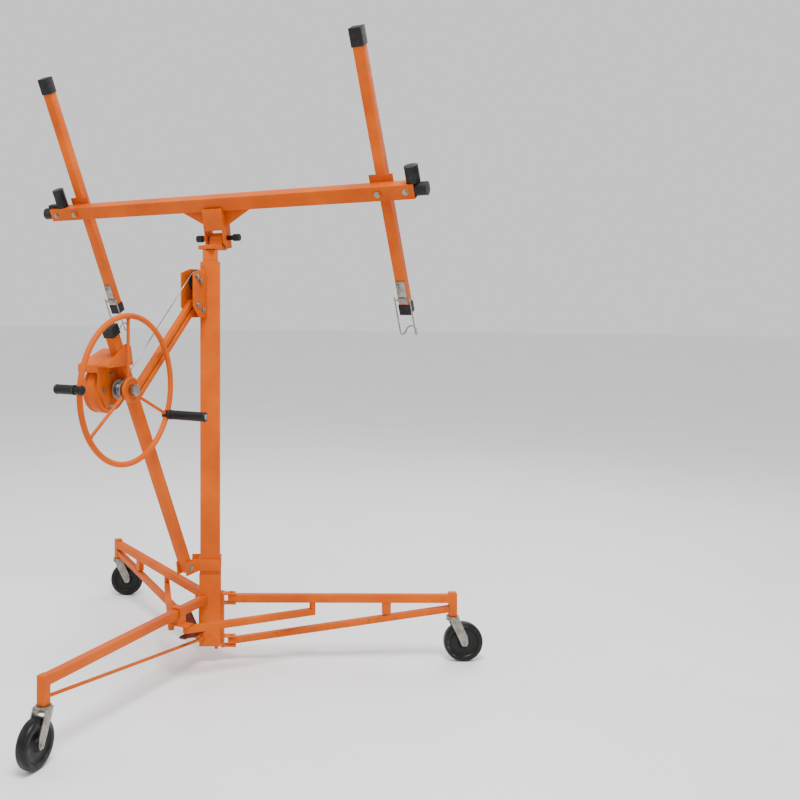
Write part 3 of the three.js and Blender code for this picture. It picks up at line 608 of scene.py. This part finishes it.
def grips():
    """Ribbed sleeves that turn on their pins."""
    for node, (angle, radius, near, far) in GRIPS.items():
        sign = math.copysign(1, far)
        length = abs(far - near)
        profile = [(0.2, 5.6), (0.2, radius), (5, radius), (6, radius - 1.4)]
        ribs = int((length - 14) / 6)
        step = (length - 14) / ribs
        for k in range(ribs):
            base = 7 + k * step
            profile += [(base, radius - 1.6), (base + step * 0.3, radius - 0.9)]
            profile.append((base + step * 0.7, radius - 0.9))
        profile += [(length - 6, radius - 1.4), (length - 4, radius)]
        profile += [(length - 0.4, radius - 0.8), (length - 0.2, 5.6)]
        bm = bmesh.new()
        axis = Vector((sign, 0, 0))
        lathe_into(bm, profile, about_winch(near, RIM_R, angle), axis, 40)
        finished(mesh_object(f"{node}_sleeve", bm), "black_plastic", f"{node}_body", node)


def winch_body():
    """Brake housing, drum with its wound cable, and the bolts that hold them."""
    bm = bmesh.new()
    centre = at(0, *WINCH)
    bell = rounded(
        [
            (-120, 10.9), (-120, 34), (-117, 40), (-113, 58), (-105, 71), (-98, 71), (-96, 68.6),
            (-90, 68.6), (-88, 71), (-66, 71), (-64, 66), (-60, 64), (-52, 64), (-52, 10.9),
        ],
        2.0,
    )
    lathe_into(bm, bell, centre, AXIS_X, 72)
    finished(mesh_object("brake_housing_turned", bm), "orange_paint", "frame", "brake_housing")

    bm = bmesh.new()
    drum = [
        (-32, 10.5), (-32, 29), (-29, 29), (-29, 14.6), (-6.5, 14.6), (-6.5, 29), (-4, 29), (-4, 10.5),
    ]
    lathe_into(bm, rounded(drum, 0.8), centre, AXIS_X, 48)
    finished(mesh_object("cable_drum_turned", bm), "zinc_plate", "winch_rotor", "cable_drum")

    bm = bmesh.new()
    per_turn = 28
    steps = COIL_TURNS * per_turn
    coil = []
    for k in range(steps + 1):
        angle = 2 * math.pi * k / per_turn
        coil.append(about_winch(COIL_START_X + COIL_LENGTH * k / steps, COIL_R, angle))
    tube_into(bm, coil, CABLE_R, 8)
    finished(mesh_object("wound_cable", bm), "cable_wire", "winch_rotor")

    places = []
    for degrees in PLATE_BOLT_DEGREES:
        place = about_winch(PLATE_BOLT_X, PLATE_BOLT_RING_R, math.radians(degrees))
        places.append((place, AXIS_X, 8, 4))
    bolts("winch_plate_bolts", "frame", places)


def about(centre, radius, angle):
    """A point of the cable's plane at a radius and angle about the centre."""
    return at(CABLE_X, centre.x + radius * math.cos(angle), centre.y + radius * math.sin(angle))


def cable_route():
    """Points along the middle of the hoist cable, from the drum over the pulley into the mast."""
    drum = Vector(WINCH)
    pulley = Vector(PULLEY)
    span = pulley - drum
    heading = math.atan2(span.y, span.x)
    tangent = heading + math.acos((DRUM_WRAP_R - PULLEY_WRAP_R) / span.length)
    points = []
    for k in range(WRAP_STEPS + 1):
        angle = tangent + DRUM_WRAP_TURN * (1 - k / WRAP_STEPS)
        points.append(about(drum, DRUM_WRAP_R, angle))
    start = points[-1]
    end = about(pulley, PULLEY_WRAP_R, tangent)
    points += [start.lerp(end, k / SPAN_STEPS) for k in range(1, SPAN_STEPS)]
    for k in range(WRAP_STEPS + 1):
        angle = tangent * (1 - k / WRAP_STEPS)
        points.append(about(pulley, PULLEY_WRAP_R, angle))
    top = points[-1]
    low = at(CABLE_X, CABLE_DOWN_Y, CABLE_LOW_Z)
    points += [top.lerp(low, k / DROP_STEPS) for k in range(1, DROP_STEPS + 1)]
    return points


def hoist_cable():
    """Strands twisted round the cable's middle line."""
    route = cable_route()
    bm = bmesh.new()
    travelled = 0.0
    stations = []
    for i, point in enumerate(route):
        if i:
            travelled += (point - route[i - 1]).length
        tangent = (route[min(i + 1, len(route) - 1)] - route[max(i - 1, 0)]).normalized()
        stations.append((point, tangent.cross(AXIS_X), travelled))
    pitch = STRAND_PITCH * MM
    for strand in range(STRANDS):
        path = []
        for point, second, length in stations:
            angle = 2 * math.pi * (strand / STRANDS + length / pitch)
            aside = AXIS_X * math.cos(angle) + second * math.sin(angle)
            path.append(point + aside * STRAND_ORBIT_R * MM)
        tube_into(bm, path, STRAND_R, 5)
    finished(mesh_object("hoist_cable_strands", bm), "cable_wire", "frame", "hoist_cable")


def mast_pulley():
    """Grooved sheave with a web thinner than its rim and hub."""
    bm = bmesh.new()
    profile = rounded(
        [(-5, 6.4), (-5, 12), (-3.6, 13), (-3.6, 25), (-5, 26), (-5, 35.8), (-3.6, 35.8), (-1.8, 32.2),
         (1.8, 32.2), (3.6, 35.8), (5, 35.8), (5, 26), (3.6, 25), (3.6, 13), (5, 12), (5, 6.4)],
        0.5,
    )
    lathe_into(bm, profile, at(CABLE_X, *PULLEY), AXIS_X, 56)
    finished(mesh_object("mast_pulley_turned", bm), "black_plastic", "mast_pulley_body", "mast_pulley")


def catmull(points):
    """Smooth path through listed points."""
    out = []
    padded = [points[0], *points, points[-1]]
    for p0, p1, p2, p3 in zip(padded, padded[1:], padded[2:], padded[3:]):
        for k in range(PATH_STEPS):
            t = k / PATH_STEPS
            out.append(
                0.5 * ((2 * p1) + (p2 - p0) * t + (2 * p0 - 5 * p1 + 4 * p2 - p3) * t ** 2
                       + (3 * p1 - p0 - 3 * p2 + p3) * t ** 3)
            )
    out.append(points[-1])
    return out


def hook(side, x):
    """Bent wire that hangs past the arm and its axle through the clamp."""
    w = HOOK_HALF_WIDTH
    low = -HOOK_DROP
    half = [
        (-w, HOOK_N, HOOK_AXLE + 9), (-w, HOOK_N, HOOK_AXLE - 4), (-w, HOOK_N, (HOOK_AXLE + low) / 2),
        (-w, HOOK_N, low + 30), (-w, HOOK_N + 2, low + 12), (-w + 2, HOOK_N + 12, low + 3),
        (-w + 6, HOOK_N + 26, low + 4), (-w + 12, HOOK_N + 35, low + 15),
    ]
    full = half + [(0, HOOK_N + 37.6, low + 21)] + [(-a, b, c) for a, b, c in reversed(half)]
    bm = bmesh.new()
    tube_into(bm, catmull([in_beam(x + a, b, c) for a, b, c in full]), HOOK_WIRE_R, 12)
    ends = [in_beam(x + s * w, HOOK_N, HOOK_AXLE) for s in (-1, 1)]
    tube_into(bm, ends, HOOK_WIRE_R, 12)
    finished(mesh_object(f"{side}_hook_wire", bm), "bright_wire", f"{side}_hook_body", f"{side}_hook")


def fixings():
    """Bolts that show on the frame, the arms and the cradle beam."""
    frame_bolts = [
        (at(8, -92, 1256), AXIS_X, 13, 6),
        (at(8, -58, 1150), AXIS_X, 13, 6),
        (at(8, -88, 1166), AXIS_X, 11, 5),
        (at(-12.6, -98, 324), AXIS_X, 13, 6),
        (at(-51.4, -98, 324), -AXIS_X, 13, 6),
        (at(-42, -58, 1150), -AXIS_X, 13, 6),
    ]
    bolts("frame_bolts", "frame", frame_bolts)
    for side, sign in (("left", -1), ("right", 1)):
        places = [(in_beam(sign * ARM_X, -29, 0), -BEAM_N, 11, 4)]
        places.append((in_beam(sign * ARM_X - 9, ARM_N - 18.9, HOOK_AXLE + 48), -BEAM_N, 7, 2.4))
        bolts(f"{side}_arm_bolts", f"{side}_arm_body", places)
    beam_bolts = []
    for sign in (-1, 1):
        beam_bolts.append((in_beam(sign * 668, -22.5, 0), -BEAM_N, 12, 5))
        beam_bolts.append((in_beam(sign * 640, 0, -22.5), -BEAM_UP, 12, 5))
    bolts("beam_bolts", "cradle", beam_bolts)


def on_leg(side, out, across, z):
    """A point measured out along a leg from the mast axis, and across it."""
    angle = LEG_ANGLES[side]
    along_axis = Vector((math.cos(angle), math.sin(angle), 0))
    across_axis = Vector((-math.sin(angle), math.cos(angle), 0))
    p = along_axis * out + across_axis * across
    return at(p.x, p.y, z)


def welds():
    """Beads across the legs, where the tubes meet the end posts and the struts."""
    for side in ("right", "back"):
        bm = bmesh.new()
        for z in (LEG_TUBE_LOW_Z, LEG_TUBE_HIGH_Z):
            weld_into(bm, [on_leg(side, LEG_POST_FACE, t, z) for t in (-12, 12)])
        for face in STRUT_FACES:
            weld_into(bm, [on_leg(side, face, t, LEG_TUBE_LOW_Z) for t in (-10, 10)], 1.6)
        finished(mesh_object(f"{side}_leg_welds", bm), "orange_paint", f"{side}_leg")
    bm = bmesh.new()
    for z in (FRONT_TUBE_LOW_Z, FRONT_TUBE_HIGH_Z):
        weld_into(bm, [at(x, -LEG_POST_FACE, z) for x in (-12, 12)])
    finished(mesh_object("frame_welds", bm), "orange_paint", "frame")


# ---- stage, light and camera ----
def stage():
    """Pale floor, even studio light all round and three soft lamps."""
    bm = bmesh.new()
    bmesh.ops.create_grid(bm, x_segments=8, y_segments=8, size=FLOOR_HALF)
    floor = mesh_object("floor", bm)
    floor.data.materials.append(floor_material())
    world = bpy.data.worlds.new("studio")
    world.use_nodes = True
    background = world.node_tree.nodes["Background"]
    background.inputs["Color"].default_value = (1.0, 1.0, 1.0, 1.0)
    background.inputs["Strength"].default_value = WORLD_STRENGTH
    bpy.context.scene.world = world
    for name, place, size, power in LIGHTS:
        data = bpy.data.lights.new(name, "AREA")
        data.shape = "DISK"
        data.size = size
        data.energy = power
        lamp = bpy.data.objects.new(name, data)
        lamp.location = place
        lamp.rotation_euler = (LIGHT_TARGET - Vector(place)).to_track_quat("-Z", "Y").to_euler()
        bpy.context.scene.collection.objects.link(lamp)


def camera():
    """Level camera in front of the part, at the photograph's angle."""
    data = bpy.data.cameras.new("photo_view")
    data.lens = CAMERA_LENS
    data.sensor_width = SENSOR_WIDTH
    data.shift_x, data.shift_y = CAMERA_SHIFT
    data.clip_end = CLIP_END
    view = bpy.data.objects.new("photo_view", data)
    view.location = at(*CAMERA_PLACE)
    view.rotation_euler = (math.radians(90), 0, CAMERA_TURN)
    bpy.context.scene.collection.objects.link(view)
    bpy.context.scene.camera = view


tubes_and_plates()
for name in LEG_ANGLES:
    caster(name)
hand_wheel()
grips()
winch_body()
hoist_cable()
mast_pulley()
for name, x in (("left", -ARM_X), ("right", ARM_X)):
    hook(name, x)
fixings()
welds()
stage()
camera()
